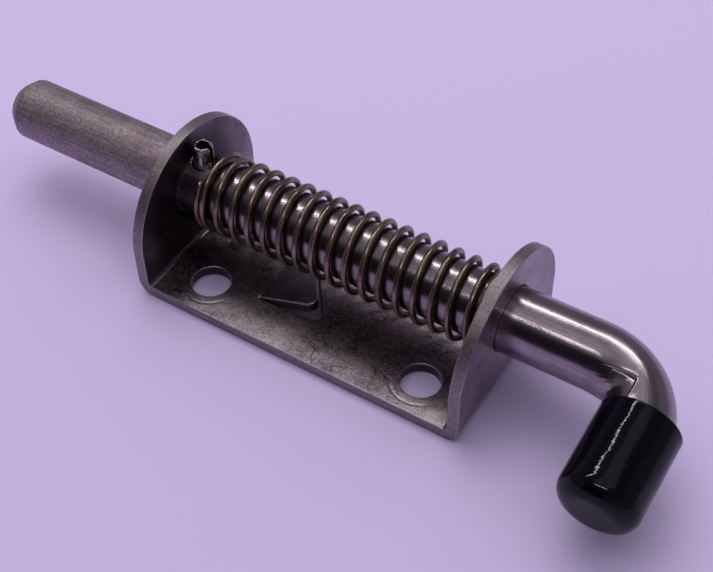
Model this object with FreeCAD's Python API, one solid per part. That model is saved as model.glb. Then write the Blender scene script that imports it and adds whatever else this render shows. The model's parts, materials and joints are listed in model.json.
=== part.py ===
"""Spring loaded gate latch: a folded steel bracket, a bent bolt, its cross pin, spring and handle cap.

Millimetres. The origin is the centre of the bracket's mounting face. +X runs along the bolt
towards its handle, +Y to the back and +Z up, away from the mounting face.
"""
import math
import os

import FreeCAD
import Part

Vec = FreeCAD.Vector
X_AXIS = Vec(1, 0, 0)
Y_AXIS = Vec(0, 1, 0)
Z_AXIS = Vec(0, 0, 1)

# Bracket, folded from one sheet
BRACKET_LENGTH = 72.3
BRACKET_WIDTH = 36.8
SHEET = 2.38
FOLD_RADIUS = 1.0
EAR_HEIGHT = 28.8
HOLE_DIAMETER = 7.94
HOLE_SPACING_X = 48.0
HOLE_SPACING_Y = 21.5

# Tongue lanced out of the base, a triangle folded up along one side
TONGUE_FOLD_X = -13.6
TONGUE_FRONT_Y = -9.2
TONGUE_BACK_Y = 10.5
TONGUE_LENGTH = 15.8
TONGUE_ANGLE = 21.0
TONGUE_FOLD_RADIUS = 1.2
TONGUE_TIP_RADIUS = 1.6
LANCE_GAP = 0.3

# Bolt, bent from one round bar
BOLT_DIAMETER = 12.7
BOLT_HEIGHT = 16.45
BOLT_REACH = 42.4
NOSE_CHAMFER = 2.6
NOSE_EDGE_RADIUS = 0.9
BORE_CLEARANCE = 0.15
HANDLE_OFFSET = 29.0
HANDLE_DROOP = 10.0
HANDLE_END_CHAMFER = 1.0
BEND_RADIUS = 12.4
ANVIL_DEPTH = 2.5
ANVIL_BITE = 0.1

# Slotted spring pin across the bolt
PIN_DIAMETER = 3.97
PIN_LENGTH = 20.6
PIN_WALL = 0.75
PIN_SLOT = 1.0
PIN_SLOT_ANGLE = 6.0
PIN_CHAMFER = 0.4
PIN_EAR_GAP = 0.5

# Compression spring between the pin and the ear beside the handle
WIRE_DIAMETER = 1.25
SPRING_RADIAL_GAP = 0.5
SPRING_END_GAP = 0.1
SPRING_TURNS = 18.5
CLOSED_TURNS = 1.0
EASING_TURNS = 0.5
CLOSED_GAP = 0.06
SPRING_START_ANGLE = 130.0
SECTIONS_PER_TURN = 16
WIRE_SIDES = 6

# Dipped cap on the handle
CAP_WALL = 1.15
CAP_END_WALL = 1.6
CAP_START = 8.3
CAP_LENGTH = 19.2
CAP_END_RADIUS = 3.2
CAP_RIM_CHAMFER = 0.3

# Places that follow from the sizes
BOLT_RADIUS = BOLT_DIAMETER / 2
EAR_OUTER_X = BRACKET_LENGTH / 2
EAR_INNER_X = EAR_OUTER_X - SHEET
BOLT_CENTRE = Vec(0, 0, BOLT_HEIGHT)
NOSE_X = -EAR_OUTER_X - BOLT_REACH
HANDLE_X = EAR_OUTER_X + HANDLE_OFFSET
BEND_START_X = HANDLE_X - BEND_RADIUS
CAP_END = CAP_START + CAP_LENGTH
HANDLE_LENGTH = CAP_END - CAP_END_WALL
PIN_X = -EAR_INNER_X + PIN_EAR_GAP + PIN_DIAMETER / 2
SPRING_RADIUS = BOLT_RADIUS + SPRING_RADIAL_GAP + WIRE_DIAMETER / 2
SPRING_START_X = PIN_X + PIN_DIAMETER / 2 + SPRING_END_GAP + WIRE_DIAMETER / 2
SPRING_END_X = EAR_INNER_X - SPRING_END_GAP - WIRE_DIAMETER / 2


def prism(points, direction):
    """Solid swept from a closed flat outline of straight sides."""
    return Part.Face(Part.makePolygon(points + points[:1])).extrude(direction)


def edges_at(shape, axis, value):
    """The edges of a shape that lie in the plane where one coordinate has the given value."""
    low, high = axis + "Min", axis + "Max"
    return [
        edge for edge in shape.Edges
        if abs(getattr(edge.BoundBox, low) - value) < 1e-6 and abs(getattr(edge.BoundBox, high) - value) < 1e-6
    ]


def folds(block, floor):
    """The two lower edges of a block that run along Y."""
    return [edge for edge in edges_at(block, "Z", floor) if edge.BoundBox.YLength > edge.BoundBox.XLength]


def folded_sheet():
    """Base and ears as one U of even thickness, as wide as the base all the way up."""
    corner = Vec(-EAR_OUTER_X, -BRACKET_WIDTH / 2, 0)
    outside = Part.makeBox(BRACKET_LENGTH, BRACKET_WIDTH, EAR_HEIGHT, corner)
    outside = outside.makeFillet(FOLD_RADIUS + SHEET, folds(outside, 0))
    corner = Vec(-EAR_INNER_X, -BRACKET_WIDTH / 2, SHEET)
    inside = Part.makeBox(2 * EAR_INNER_X, BRACKET_WIDTH, EAR_HEIGHT, corner)
    inside = inside.makeFillet(FOLD_RADIUS, folds(inside, SHEET))
    return outside.cut(inside)


def ear_outline():
    """Block along the bolt with the ears' outline: straight sides under a half circle."""
    radius = BRACKET_WIDTH / 2
    springing = EAR_HEIGHT - radius
    sides = Part.makeBox(BRACKET_LENGTH, BRACKET_WIDTH, springing, Vec(-EAR_OUTER_X, -radius, 0))
    crown = Part.makeCylinder(radius, BRACKET_LENGTH, Vec(-EAR_OUTER_X, 0, springing), X_AXIS)
    return sides.fuse(crown)


def tongue_plan(length, gap):
    """Upright prism with the tongue's plan, grown by a gap on its two cut sides."""
    tip = Vec(TONGUE_FOLD_X + length + gap, TONGUE_FRONT_Y - gap, -SHEET)
    front = Vec(TONGUE_FOLD_X, TONGUE_FRONT_Y - gap, -SHEET)
    back = Vec(TONGUE_FOLD_X, TONGUE_BACK_Y + gap, -SHEET)
    block = prism([tip, back, front], Z_AXIS * BOLT_HEIGHT)
    tip_edge = [edge for edge in edges_at(block, "X", tip.x) if edge.BoundBox.ZLength > SHEET]
    return block.makeFillet(TONGUE_TIP_RADIUS, tip_edge)


def tongue():
    """The flap, bent up about its fold and cut to its plan."""
    turn = math.radians(TONGUE_ANGLE)
    straight = TONGUE_LENGTH - (TONGUE_FOLD_RADIUS + SHEET / 2) * turn
    centre = Vec(TONGUE_FOLD_X, TONGUE_FRONT_Y, SHEET + TONGUE_FOLD_RADIUS)
    along = Vec(math.cos(turn), 0, math.sin(turn)) * straight

    def on_fold(radius, angle):
        return centre + Vec(math.sin(angle), 0, -math.cos(angle)) * radius

    def fold_arc(radius):
        return Part.Arc(on_fold(radius, 0), on_fold(radius, turn / 2), on_fold(radius, turn)).toShape()

    upper, lower = TONGUE_FOLD_RADIUS, TONGUE_FOLD_RADIUS + SHEET
    upper_end, lower_end = on_fold(upper, turn), on_fold(lower, turn)
    outline = [
        fold_arc(upper),
        Part.makeLine(upper_end, upper_end + along),
        Part.makeLine(upper_end + along, lower_end + along),
        Part.makeLine(lower_end + along, lower_end),
        fold_arc(lower),
        Part.makeLine(on_fold(lower, 0), on_fold(upper, 0)),
    ]
    section = Part.Face(Part.Wire(Part.__sortEdges__(outline)))
    strip = section.extrude(Y_AXIS * (TONGUE_BACK_Y - TONGUE_FRONT_Y))
    bent_length = (upper_end + along).x - TONGUE_FOLD_X
    return strip.common(tongue_plan(bent_length, 0))


def bracket():
    """Folded bracket with its bores, screw holes and tongue."""
    body = folded_sheet().common(ear_outline())
    bore = Part.makeCylinder(
        BOLT_RADIUS + BORE_CLEARANCE, BRACKET_LENGTH, BOLT_CENTRE - X_AXIS * EAR_OUTER_X, X_AXIS
    )
    body = body.cut(bore)
    for side_x in (-0.5, 0.5):
        for side_y in (-0.5, 0.5):
            foot = Vec(side_x * HOLE_SPACING_X, side_y * HOLE_SPACING_Y, 0)
            body = body.cut(Part.makeCylinder(HOLE_DIAMETER / 2, SHEET, foot))
    body = body.cut(tongue_plan(TONGUE_LENGTH, LANCE_GAP).common(folded_base()))
    return body.fuse(tongue()).removeSplitter()


def folded_base():
    """The flat of the base, as deep as the sheet."""
    return Part.makeBox(2 * EAR_INNER_X, BRACKET_WIDTH, SHEET, Vec(-EAR_INNER_X, -BRACKET_WIDTH / 2, 0))


def level_bolt():
    """Bar with its nose and bent handle, before the handle is turned down to its droop."""
    shaft = Part.makeCylinder(BOLT_RADIUS, BEND_START_X - NOSE_X, Vec(NOSE_X, 0, BOLT_HEIGHT), X_AXIS)
    shaft = shaft.makeChamfer(NOSE_CHAMFER, edges_at(shaft, "X", NOSE_X))
    nose_edges = edges_at(shaft, "X", NOSE_X) + edges_at(shaft, "X", NOSE_X + NOSE_CHAMFER)
    shaft = shaft.makeFillet(NOSE_EDGE_RADIUS, nose_edges)
    section = Part.Face(Part.Wire(Part.makeCircle(BOLT_RADIUS, Vec(BEND_START_X, 0, BOLT_HEIGHT), X_AXIS)))
    bend = section.revolve(Vec(BEND_START_X, -BEND_RADIUS, BOLT_HEIGHT), -Z_AXIS, 90)
    grip_start = Vec(HANDLE_X, -BEND_RADIUS, BOLT_HEIGHT)
    grip = Part.makeCylinder(BOLT_RADIUS, HANDLE_LENGTH - BEND_RADIUS, grip_start, -Y_AXIS)
    grip = grip.makeChamfer(HANDLE_END_CHAMFER, edges_at(grip, "Y", -HANDLE_LENGTH))
    return shaft.fuse([bend.cut(anvil_mark()), grip]).removeSplitter()


def anvil_mark():
    """What the grooved corner of a bending anvil presses out of the inside of the bend."""
    corner = BOLT_RADIUS - ANVIL_DEPTH
    reach = BEND_RADIUS - corner
    block = Part.makeBox(
        reach, reach, BOLT_DIAMETER, Vec(BEND_START_X, -BEND_RADIUS, BOLT_HEIGHT - BOLT_RADIUS)
    )
    groove = BOLT_RADIUS - ANVIL_BITE
    along_shaft = Part.makeCylinder(groove, 2 * BEND_RADIUS, Vec(BEND_START_X, 0, BOLT_HEIGHT), X_AXIS)
    along_grip = Part.makeCylinder(groove, 2 * BEND_RADIUS, Vec(HANDLE_X, 0, BOLT_HEIGHT), -Y_AXIS)
    return block.cut([along_shaft, along_grip])


def drooped(shape):
    """A level shape turned about the bolt's axis by the handle's droop."""
    turned = shape.copy()
    turned.rotate(BOLT_CENTRE, X_AXIS, HANDLE_DROOP)
    return turned


def across_bolt(shape):
    """An upright shape about the origin, moved to the pin's place on the bolt's axis."""
    moved = shape.copy()
    moved.translate(BOLT_CENTRE + X_AXIS * PIN_X)
    return moved


def bolt_rod():
    """Bent bar with the cross hole for its pin."""
    hole = Part.makeCylinder(PIN_DIAMETER / 2, BOLT_DIAMETER * 2, -Z_AXIS * BOLT_DIAMETER)
    return drooped(level_bolt()).cut(across_bolt(hole))


def cross_pin():
    """Rolled pin with an open slot along it and chamfered ends."""
    foot = -Z_AXIS * (PIN_LENGTH / 2)
    tube = Part.makeCylinder(PIN_DIAMETER / 2, PIN_LENGTH, foot)
    ends = edges_at(tube, "Z", foot.z) + edges_at(tube, "Z", -foot.z)
    tube = tube.makeChamfer(PIN_CHAMFER, ends)
    tube = tube.cut(Part.makeCylinder(PIN_DIAMETER / 2 - PIN_WALL, PIN_LENGTH, foot))
    slot = Part.makeBox(PIN_DIAMETER, PIN_SLOT, PIN_LENGTH, foot - Y_AXIS * (PIN_SLOT / 2))
    slot.rotate(Vec(0, 0, 0), Z_AXIS, PIN_SLOT_ANGLE)
    return across_bolt(tube.cut(slot))


def advance(turns):
    """How far the wire has moved along the spring after some turns from a closed end."""
    closed_pitch = WIRE_DIAMETER + CLOSED_GAP
    open_turns = SPRING_TURNS - 2 * CLOSED_TURNS - EASING_TURNS
    open_pitch = (SPRING_END_X - SPRING_START_X - closed_pitch * (SPRING_TURNS - open_turns)) / open_turns
    eased = min(max(turns - CLOSED_TURNS, 0), EASING_TURNS)
    opened = eased ** 2 / (2 * EASING_TURNS) + max(turns - CLOSED_TURNS - EASING_TURNS, 0)
    return closed_pitch * turns + (open_pitch - closed_pitch) * opened


def coil_point(turns):
    """Point of the wire's centreline, some turns from the end at the pin."""
    if turns < SPRING_TURNS / 2:
        x = SPRING_START_X + advance(turns)
    else:
        x = SPRING_END_X - advance(SPRING_TURNS - turns)
    angle = math.radians(SPRING_START_ANGLE) + 2 * math.pi * turns
    return Vec(x, SPRING_RADIUS * math.cos(angle), BOLT_HEIGHT + SPRING_RADIUS * math.sin(angle))


def wire_section(turns):
    """Outline of the wire, square to its centreline, some turns from the end at the pin."""
    step = 0.1 / SECTIONS_PER_TURN
    centre = coil_point(turns)
    along = (coil_point(turns + step) - coil_point(turns - step)).normalize()
    outward = (centre - BOLT_CENTRE).projectToPlane(Vec(0, 0, 0), X_AXIS).normalize()
    corners = []
    for side in range(WIRE_SIDES + 1):
        turn = FreeCAD.Rotation(along, 360 * side / WIRE_SIDES)
        corners.append(centre + turn.multVec(outward) * (WIRE_DIAMETER / 2))
    return Part.makePolygon(corners)


def spring():
    """Wire coiled right-handed with a closed turn at each end, lofted from section to section."""
    steps = round(SPRING_TURNS * SECTIONS_PER_TURN)
    sections = [wire_section(SPRING_TURNS * step / steps) for step in range(steps + 1)]
    return Part.makeLoft(sections, True, True)


def handle_cap():
    """Closed sleeve with a rounded end, stretched over the handle and the last of the bend."""
    sleeve = Part.makeCylinder(
        BOLT_RADIUS + CAP_WALL, CAP_LENGTH, Vec(HANDLE_X, -CAP_START, BOLT_HEIGHT), -Y_AXIS
    )
    sleeve = sleeve.makeFillet(CAP_END_RADIUS, edges_at(sleeve, "Y", -CAP_END))
    sleeve = sleeve.makeChamfer(CAP_RIM_CHAMFER, edges_at(sleeve, "Y", -CAP_START))
    bore = Part.makeCylinder(BOLT_RADIUS, HANDLE_LENGTH, Vec(HANDLE_X, 0, BOLT_HEIGHT), -Y_AXIS)
    return drooped(sleeve.cut(bore))


def main():
    """Write one file for each piece."""
    os.makedirs("parts", exist_ok=True)
    for piece in (bracket, bolt_rod, cross_pin, spring, handle_cap):
        piece().exportStep("parts/" + piece.__name__ + ".step")


main()
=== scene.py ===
"""Looks of a spring loaded gate latch: sheet bracket, bent bar, roll pin, spring and dipped cap.

Metres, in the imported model's own frame: +X along the bolt towards its handle, +Y to the back, +Z up.
"""

import json
import logging
import math
from collections.abc import Callable
from dataclasses import dataclass, field
from enum import Enum
from typing import Any

import bmesh
import bpy
import numpy as np
from mathutils import Matrix, Vector


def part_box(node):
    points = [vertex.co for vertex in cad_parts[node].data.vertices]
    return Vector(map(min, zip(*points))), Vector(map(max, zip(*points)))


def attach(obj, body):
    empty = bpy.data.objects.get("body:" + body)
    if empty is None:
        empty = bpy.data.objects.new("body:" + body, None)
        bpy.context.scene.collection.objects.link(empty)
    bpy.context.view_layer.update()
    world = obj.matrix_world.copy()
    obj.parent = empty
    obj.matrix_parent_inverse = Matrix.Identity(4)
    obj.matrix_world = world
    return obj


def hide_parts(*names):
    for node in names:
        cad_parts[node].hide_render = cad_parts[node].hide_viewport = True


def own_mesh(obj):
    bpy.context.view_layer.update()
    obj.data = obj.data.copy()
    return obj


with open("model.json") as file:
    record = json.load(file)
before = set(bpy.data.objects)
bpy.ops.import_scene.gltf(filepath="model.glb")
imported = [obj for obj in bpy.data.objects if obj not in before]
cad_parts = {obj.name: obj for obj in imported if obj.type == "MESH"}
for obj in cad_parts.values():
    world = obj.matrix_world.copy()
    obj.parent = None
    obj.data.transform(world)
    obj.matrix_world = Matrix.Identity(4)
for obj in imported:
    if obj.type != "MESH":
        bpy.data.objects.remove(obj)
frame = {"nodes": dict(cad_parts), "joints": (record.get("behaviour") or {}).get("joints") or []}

MM = 0.001
# Where a mix node takes its two colours, and where it gives the mixed one.
MIX_A = 6
MIX_B = 7
MIXED = 2
# Limits for a copied solid: points that merge, folds that count as flat and folds that are an edge.
MERGE_DISTANCE = 0.001 * MM
FLAT_DEG = 0.6
SHARP_DEG = 32.0
LOG = logging.getLogger("gate_latch")


class Body(Enum):
    """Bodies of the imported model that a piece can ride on."""

    BRACKET = "bracket"
    SPRING = "spring"
    BOLT = "bolt"


class Slot(Enum):
    """Material slots of the record."""

    BRACKET = "bracket_steel"
    BOLT = "bolt_steel"
    PIN = "pin_steel"
    SPRING = "spring_wire"
    CAP = "cap_vinyl"


class Shows(Enum):
    """Surfaces that a lamp lights."""

    ALL = "all"
    SHINY = "shiny"
    MATT = "matt"


def linear(code: str) -> tuple[float, float, float, float]:
    """Turn an sRGB hex colour into linear light.

    Args:
        code: Colour such as "#A09890".

    Returns:
        Red, green, blue and an alpha of one.
    """
    srgb = np.array([int(code[i:i + 2], 16) for i in (1, 3, 5)]) / 255
    values = np.where(srgb <= 0.04045, srgb / 12.92, ((srgb + 0.055) / 1.055) ** 2.4)
    return (*values.tolist(), 1.0)


def per_metre(size_mm: float) -> float:
    """Texture scale, in repeats per metre, for a feature of a size in millimetres."""
    return 1 / (size_mm * MM)


def add_node(tree: bpy.types.NodeTree, kind: str, inputs: dict[Any, Any], **settings: Any) -> bpy.types.Node:
    """Add a node, set its properties and fill or link its inputs.

    Args:
        tree: Node tree that takes the node.
        kind: Blender's name of the node type.
        inputs: Values or output sockets by input name or number.
        settings: Properties of the node.

    Returns:
        The new node.
    """
    node = tree.nodes.new(kind)
    for name, value in settings.items():
        setattr(node, name, value)
    for key, value in inputs.items():
        if isinstance(value, bpy.types.NodeSocket):
            tree.links.new(value, node.inputs[key])
        else:
            node.inputs[key].default_value = value
    return node


def blank_material(name: str) -> tuple[bpy.types.Material, bpy.types.NodeTree]:
    """Make a material with an empty node tree.

    Args:
        name: Name of the material.

    Returns:
        The material and its tree.
    """
    material = bpy.data.materials.new(name)
    material.use_nodes = True
    material.node_tree.nodes.clear()
    return material, material.node_tree


def smoothstep(low: float, high: float, values: np.ndarray) -> np.ndarray:
    """Ease from 0 at low to 1 at high by 3t^2 - 2t^3."""
    share = np.clip((values - low) / (high - low), 0, 1)
    return share * share * (3 - 2 * share)


def soft_max(first: np.ndarray, second: np.ndarray, width: float) -> np.ndarray:
    """Larger of two values, rounded where they cross: half of sum plus root of squared gap and width."""
    return 0.5 * (first + second + np.sqrt((first - second) ** 2 + width ** 2))


def eased_corner(start: np.ndarray, corner: np.ndarray, end: np.ndarray, count: int) -> np.ndarray:
    """Round a corner by the quadratic curve from start to end that its corner point pulls.

    Args:
        start: Point before the corner.
        corner: The sharp corner.
        end: Point after it.
        count: Number of points.

    Returns:
        Points along the curve.
    """
    share = np.linspace(0, 1, count)[:, None]
    return (1 - share) ** 2 * start + 2 * share * (1 - share) * corner + share ** 2 * end


def tube(name: str, rings: np.ndarray, poles: np.ndarray) -> bpy.types.Object:
    """Close a stack of rings into one skin, with a fan of triangles at each end.

    Args:
        name: Name of the object.
        rings: Points as rows by columns by three, each row a closed loop.
        poles: The two points at which the first and last ring close.

    Returns:
        The linked object, smooth shaded.
    """
    rows, columns = rings.shape[:2]
    index = np.arange(rows * columns).reshape(rows, columns)
    after = np.roll(index, -1, axis=1)
    quads = np.stack([index[:-1], after[:-1], after[1:], index[1:]], axis=-1).reshape(-1, 4)
    first = np.full(columns, rows * columns)
    fans = np.concatenate([
        np.stack([after[0], index[0], first], axis=-1),
        np.stack([index[-1], after[-1], first + 1], axis=-1),
    ])
    mesh = bpy.data.meshes.new(name)
    points = np.concatenate([rings.reshape(-1, 3), poles])
    mesh.from_pydata(points.tolist(), [], quads.tolist() + fans.tolist())
    return placed(name, mesh)


def placed(name: str, mesh: bpy.types.Mesh) -> bpy.types.Object:
    """Recalculate a mesh's normals outwards, shade it smooth and link it as an object.

    Args:
        name: Name of the object.
        mesh: Its mesh.

    Returns:
        The linked object.
    """
    work = bmesh.new()
    work.from_mesh(mesh)
    bmesh.ops.recalc_face_normals(work, faces=work.faces)
    work.to_mesh(mesh)
    work.free()
    mesh.polygons.foreach_set("use_smooth", np.ones(len(mesh.polygons), bool))
    piece = bpy.data.objects.new(name, mesh)
    bpy.context.scene.collection.objects.link(piece)
    return piece


def stamp(piece: bpy.types.Object, name: str, values: np.ndarray) -> None:
    """Store a vector for each point of a piece, for its material to read.

    Args:
        piece: Object that takes the attribute.
        name: Name of the attribute.
        values: Points by three.
    """
    attribute = piece.data.attributes.new(name, "FLOAT_VECTOR", "POINT")
    attribute.data.foreach_set("vector", values.astype(np.float32).ravel())


def face_frames(mesh: bpy.types.Mesh) -> tuple[np.ndarray, np.ndarray]:
    """Normals and middles of a mesh's faces.

    Args:
        mesh: The mesh.

    Returns:
        Two arrays of faces by three.
    """
    normals = np.empty(len(mesh.polygons) * 3, np.float32)
    centres = np.empty_like(normals)
    mesh.polygons.foreach_get("normal", normals)
    mesh.polygons.foreach_get("center", centres)
    return normals.reshape(-1, 3), centres.reshape(-1, 3)


def mark_faces(piece: bpy.types.Object, name: str, values: np.ndarray) -> None:
    """Store a number for each face of a piece, for its material to read.

    Args:
        piece: Object that takes the attribute.
        name: Name of the attribute.
        values: One number for each face.
    """
    attribute = piece.data.attributes.new(name, "FLOAT", "FACE")
    attribute.data.foreach_set("value", values.astype(np.float32))


def dress(piece: bpy.types.Object, material: bpy.types.Material, body: Body, node: str) -> None:
    """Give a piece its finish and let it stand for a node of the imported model.

    Args:
        piece: Object to dress.
        material: Its finish.
        body: Body that it moves with.
        node: Node that it replaces.
    """
    piece.data.materials.clear()
    piece.data.materials.append(material)
    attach(piece, body.value)
    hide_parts(node)
    LOG.info("%s: %d faces on %s", piece.name, len(piece.data.polygons), body.value)


@dataclass(frozen=True)
class DrawnBarSteel:
    """Cold drawn steel bar: dull at the nose, rubbed smooth past it, with painted shade darkening it under
    the spring and brighter at the handle, out of that shade.
    """

    dull: str = "#B5A5A9"
    # Painted shade: colour of the bar under the spring, where the coils shade it.
    spring_shaded: str = "#92858A"
    bright: str = "#A0939A"
    stain: str = "#74666A"
    dull_roughness: float = 0.6
    bright_roughness: float = 0.22
    line_width_mm: float = 0.3
    line_length_mm: float = 9.0
    grit_mm: float = 0.55
    stain_mm: float = 5.0
    handle_fade_mm: float = 2.0
    line_depth_mm: float = 0.02

    def material(self, rubbed_from: float, rubbed_to: float, handle_from: float) -> bpy.types.Material:
        """Build the finish over the bar's straightened coordinates.

        Args:
            rubbed_from: Distance along the bar where the dull nose ends.
            rubbed_to: Distance along the bar from which it is smooth.
            handle_from: Distance along the bar where the painted shade under the spring ends and the bar
                turns brighter.

        Returns:
            The material.
        """
        material, tree = blank_material("drawn_bar_steel")
        straight = add_node(tree, "ShaderNodeAttribute", {}, attribute_name="straight").outputs["Vector"]
        fine, long = per_metre(self.line_width_mm), per_metre(self.line_length_mm)
        drawn = add_node(tree, "ShaderNodeMapping", {"Vector": straight, "Scale": (long, fine, fine)})
        lines = add_node(tree, "ShaderNodeTexNoise", {
            "Vector": drawn.outputs[0], "Scale": 1.0, "Detail": 3.0})
        stains = add_node(tree, "ShaderNodeTexNoise", {
            "Vector": straight, "Scale": per_metre(self.stain_mm), "Detail": 5.0, "Roughness": 0.6})
        along = add_node(tree, "ShaderNodeSeparateXYZ", {0: straight}).outputs["X"]
        rubbed = add_node(tree, "ShaderNodeMapRange", {
            "Value": along, "From Min": rubbed_from, "From Max": rubbed_to})
        # Painted shade: up to the handle-end ear the bar takes the darker colour under the spring; past it,
        # the brighter one.
        fade = self.handle_fade_mm * MM
        past_spring_shade = add_node(tree, "ShaderNodeMapRange", {
            "Value": along, "From Min": handle_from - fade, "From Max": handle_from + fade})
        smooth = add_node(tree, "ShaderNodeMix", {
            "Factor": past_spring_shade.outputs[0], MIX_A: linear(self.spring_shaded), MIX_B: linear(self.bright)},
            data_type="RGBA")
        ground = add_node(tree, "ShaderNodeMix", {
            "Factor": rubbed.outputs[0], MIX_A: linear(self.dull), MIX_B: smooth.outputs[MIXED]},
            data_type="RGBA")
        stain_share = add_node(tree, "ShaderNodeMapRange", {
            "Value": stains.outputs["Fac"], "From Min": 0.45, "From Max": 0.75, "To Max": 0.55})
        stained = add_node(tree, "ShaderNodeMix", {
            "Factor": stain_share.outputs[0], MIX_A: ground.outputs[MIXED], MIX_B: linear(self.stain)},
            data_type="RGBA")
        scored = add_node(tree, "ShaderNodeMapRange", {
            "Value": lines.outputs["Fac"], "From Min": 0.42, "From Max": 0.7, "To Max": 0.5})
        lined = add_node(tree, "ShaderNodeMix", {
            "Factor": scored.outputs[0], MIX_A: stained.outputs[MIXED], MIX_B: linear(self.stain)},
            data_type="RGBA")
        grit = add_node(tree, "ShaderNodeTexNoise", {
            "Vector": straight, "Scale": per_metre(self.grit_mm), "Detail": 4.0, "Roughness": 0.7})
        unrubbed = add_node(tree, "ShaderNodeMapRange", {
            "Value": rubbed.outputs[0], "To Min": 0.7, "To Max": 0.15})
        dirt = add_node(tree, "ShaderNodeMapRange", {
            "Value": grit.outputs["Fac"], "From Min": 0.45, "From Max": 0.62, "To Max": unrubbed.outputs[0]})
        colour = add_node(tree, "ShaderNodeMix", {
            "Factor": dirt.outputs[0], MIX_A: lined.outputs[MIXED], MIX_B: linear(self.stain)},
            data_type="RGBA")
        gloss = add_node(tree, "ShaderNodeMapRange", {
            "Value": rubbed.outputs[0], "To Min": self.dull_roughness, "To Max": self.bright_roughness})
        streaks = add_node(tree, "ShaderNodeMapRange", {
            "Value": lines.outputs["Fac"], "From Min": 0.3, "From Max": 0.7, "To Min": -0.03, "To Max": 0.05})
        rough = add_node(tree, "ShaderNodeMath", {
            0: gloss.outputs[0], 1: streaks.outputs[0]}, operation="ADD")
        relief = add_node(tree, "ShaderNodeBump", {
            "Height": lines.outputs["Fac"], "Strength": 0.05, "Distance": self.line_depth_mm * MM})
        shader = add_node(tree, "ShaderNodeBsdfPrincipled", {
            "Base Color": colour.outputs[MIXED], "Metallic": 1.0, "Roughness": rough.outputs[0],
            "Normal": relief.outputs[0]})
        add_node(tree, "ShaderNodeOutputMaterial", {"Surface": shader.outputs[0]})
        return material


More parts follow.
